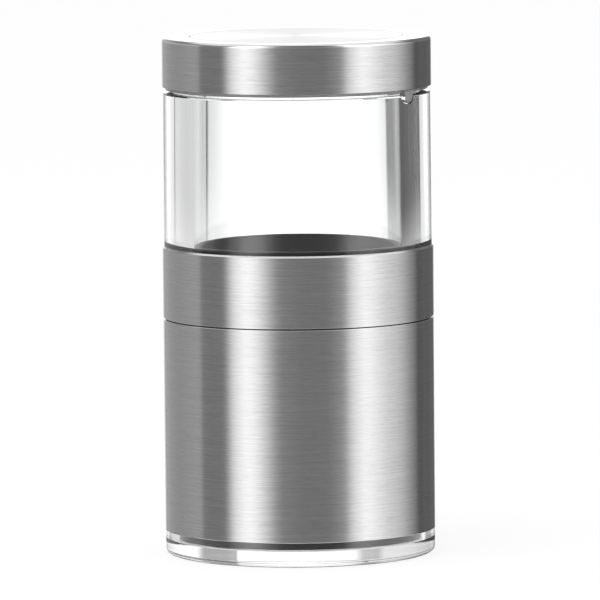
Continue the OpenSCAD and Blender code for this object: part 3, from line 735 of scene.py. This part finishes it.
# The thread's radius falls and rises in a triangle wave of height less turn. The square's
# radius is half its width over the larger of cosine and sine, cut off at its eased corners.
wave = np.abs(((z / PITCH - t / (2 * np.pi)) % 1.0) * 2 - 1)
square = np.minimum(size / np.maximum(np.abs(np.cos(t)), np.abs(np.sin(t))), size * CORNER)
r = np.where(form == 1, size - THREAD_DEPTH * wave, np.where(form == 2, square, size)) * MM
points = np.stack(np.broadcast_arrays(np.cos(t) * r, np.sin(t) * r, z * MM), -1)
number = np.arange(r.size).reshape(r.shape)
number[0], number[-1] = number[0, 0], number[-1, 0]
fit(piece("threaded_shaft", points, woven(number), fastener_steel), "hopper", "fastener_steel",
    "drive_shaft")

# Shaft clip
# A stamped clip of spring steel, pushed into the shaft's groove from the side. It lies under the
# spider's hub, and the rotor's spring stands against it.
fit(softened("spring_clip", "shaft_clip", 0.08, fastener_steel), "hopper", "fastener_steel",
    "shaft_clip")

# Rotor and feed wings
# The rotor is a stainless casting with four curved blades, ground flat underneath. Two pitched
# wings of nylon stand on it and push the herbs down. Both slide on the square of the shaft.
fit(softened("bladed_rotor", "cutting_rotor", 0.06, blade_steel), "rotor", "blade_steel",
    "cutting_rotor")
fit(softened("pitched_wings", "feed_wing", 0.2, nylon, 0.16), "rotor", "grey_nylon", "feed_wing")

# Rotor spring
# A compression spring of stainless wire over the shaft, between the wings' hub and the clip,
# with its last turn at each end laid flat. In the mill it gives when the rotor lifts; here it
# moves with the rotor as one solid piece.
WIRE, COIL_R, TURNS, CLOSED, OPENING = 0.9, 4.6, 7.5, 1.0, 0.5
SPRING_LOW, SPRING_HIGH = 31.0, 45.1
u = np.linspace(0, 1, 301)
# Height along the wire: the climb per turn grows from the wire's own thickness in the closed
# turns to the free pitch between them, and the sum is stretched to the spring's length.
turns = u * TURNS
free = np.clip((np.minimum(turns, TURNS - turns) - CLOSED) / OPENING, 0, 1)
free = free * free * (3 - 2 * free)
closed_climb = (WIRE + 0.02) / (SPRING_HIGH - SPRING_LOW - WIRE) * TURNS
climb = np.cumsum(free)
climb = closed_climb * u + (1 - closed_climb) * climb / climb[-1]
z = SPRING_LOW + WIRE / 2 + (SPRING_HIGH - SPRING_LOW - WIRE) * climb
a = 2 * np.pi * turns
centre = np.stack([COIL_R * np.cos(a), COIL_R * np.sin(a), z], 1)
out = np.stack([np.cos(a), np.sin(a), 0 * a], 1)
ahead = np.gradient(centre, axis=0)
ahead /= np.linalg.norm(ahead, axis=1, keepdims=True)
up = np.cross(out, ahead)
b = np.linspace(0, 2 * np.pi, 16, endpoint=False)[:, None]
wire = centre[:, None] + WIRE / 2 * (np.cos(b) * out[:, None] + np.sin(b) * up[:, None])
number = np.arange(wire.shape[0] * wire.shape[1]).reshape(wire.shape[:2])
spring = piece("coil_spring", wire * MM, woven(number)[:, ::-1], fastener_steel,
               (number[0], number[-1][::-1]))
fit(spring, "rotor", "fastener_steel", "rotor_spring")
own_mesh(spring)

# Thrust washer and lock nut
# A ground washer under the bush, and a hexagon nut with chamfered corners that holds the two
# halves of the mill together.
NUT_LOW, NUT_HIGH, NUT_HALF, NUT_BORE = 9.3, 12.5, 3.5, 2.05
# The round face inside the flats, as a part of their half width, and the lead-in of the bore.
NUT_FACE, LEAD_IN, LEAD_DEPTH = 0.96, 0.25, 0.2
WASHER_R, WASHER_TOP = 4.6, 13.3
washer = eased([(NUT_BORE, NUT_HIGH), (WASHER_R, NUT_HIGH), (WASHER_R, WASHER_TOP),
                (NUT_BORE, WASHER_TOP)], 0.1, 3)
fit(turned("ground_washer", washer, fastener_steel, 96), "hopper", "fastener_steel",
    "thrust_washer")
t = np.linspace(0, 2 * np.pi, 144, endpoint=False)
# The hexagon's radius is half its width over the cosine of the angle from the nearest flat. The
# chamfer falls at 30 degrees from a circle inside the flats.
hexagon = NUT_HALF / np.cos((t % (np.pi / 3)) - np.pi / 6)
face = np.full_like(t, NUT_HALF * NUT_FACE)
fall = (hexagon - face) * np.tan(np.pi / 6)
bore, wide_bore = np.full_like(t, NUT_BORE), np.full_like(t, NUT_BORE + LEAD_IN)
r = np.stack([bore, wide_bore, face, hexagon, hexagon, face, wide_bore, bore, bore])
low, high = np.full_like(t, NUT_LOW), np.full_like(t, NUT_HIGH)
z = np.stack([low + LEAD_DEPTH, low, low, low + fall, high - fall, high, high, high - LEAD_DEPTH,
              low + LEAD_DEPTH])
number = np.arange(r.size).reshape(r.shape)
number[-1] = number[0]
points = np.stack([r * np.cos(t), r * np.sin(t), z], -1) * MM
fit(piece("hexagon_nut", points, woven(number), fastener_steel), "hopper", "fastener_steel",
    "lock_nut")

# Lid shell and disc
# A deep-drawn steel cap, brushed round its axis, with a polished rounding at the top. A thin
# brushed disc is let into its top and leaves a fine circle round it.
ROUNDING_LOW, ROUNDING_IN = 113.65, 28.8
LID_IN, LID_R, LID_LOW, LID_TOP = 29.05, 29.75, 103.5, 114.5
LID_BEVEL, RECESS_R, RECESS, UNDER_TOP, DISC_R = 0.06, 23.6, 114.0, 113.6, 23.45
shell = eased([(LID_IN, LID_LOW), (LID_R - LID_BEVEL, LID_LOW), (LID_R, LID_LOW + LID_BEVEL),
               (LID_R, LID_TOP), (RECESS_R, LID_TOP), (RECESS_R, RECESS), (0, RECESS),
               (0, UNDER_TOP), (LID_IN, UNDER_TOP)],
              [0.03, 0.03, 0.03, 0.9, 0.06, 0.03, 0, 0, 0.1], 9, 0.015)
fit(polish(turned("steel_lid", shell, steel), (ROUNDING_LOW, LID_TOP + 0.5, ROUNDING_IN)), "lid",
    "brushed_steel", "lid_shell")
disc = eased([(0, RECESS), (DISC_R, RECESS), (DISC_R, LID_TOP), (0, LID_TOP)],
             [0, 0.03, 0.06, 0], 4, 0.015)
fit(turned("steel_lid_disc", disc, steel), "lid", "brushed_steel", "lid_disc")

# Lid liner
# A liner of milky plastic glued into the steel cap. Its wall shows as a fine rim under the
# steel, and its tongue drops into the notch of the tube and keys the lid.
milky = moulded("milky_plastic", (0.33, 0.34, 0.355), 0.4, 3500.0, 0.000002, IOR=1.49,
                Transmission_Weight=0.55)
LINER_IN, LINER_R, LINER_LOW, LINER_TOP, LINER_UNDER = 28.0, 28.95, 102.85, 113.5, 111.6
liner = eased([(LINER_IN, LINER_LOW), (LINER_R, LINER_LOW), (LINER_R, LINER_TOP), (0, LINER_TOP),
               (0, LINER_UNDER), (LINER_IN, LINER_UNDER)], [0.1, 0.1, 0.2, 0, 0, 0.2], 4)
KEY_WIDE, KEY_IN, KEY_OUT, KEY_LOW, KEY_HIGH = 3.0, 28.1, 29.55, 100.6, 103.4
key = tongue("key", KEY_WIDE, KEY_IN, KEY_OUT, KEY_LOW, KEY_HIGH, KEY_EDGE, milky)
fit(joined(turned("milky_lid_liner", liner, milky, 360), key, "UNION"), "lid", "milky_plastic",
    "lid_liner")

# Size
low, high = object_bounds()
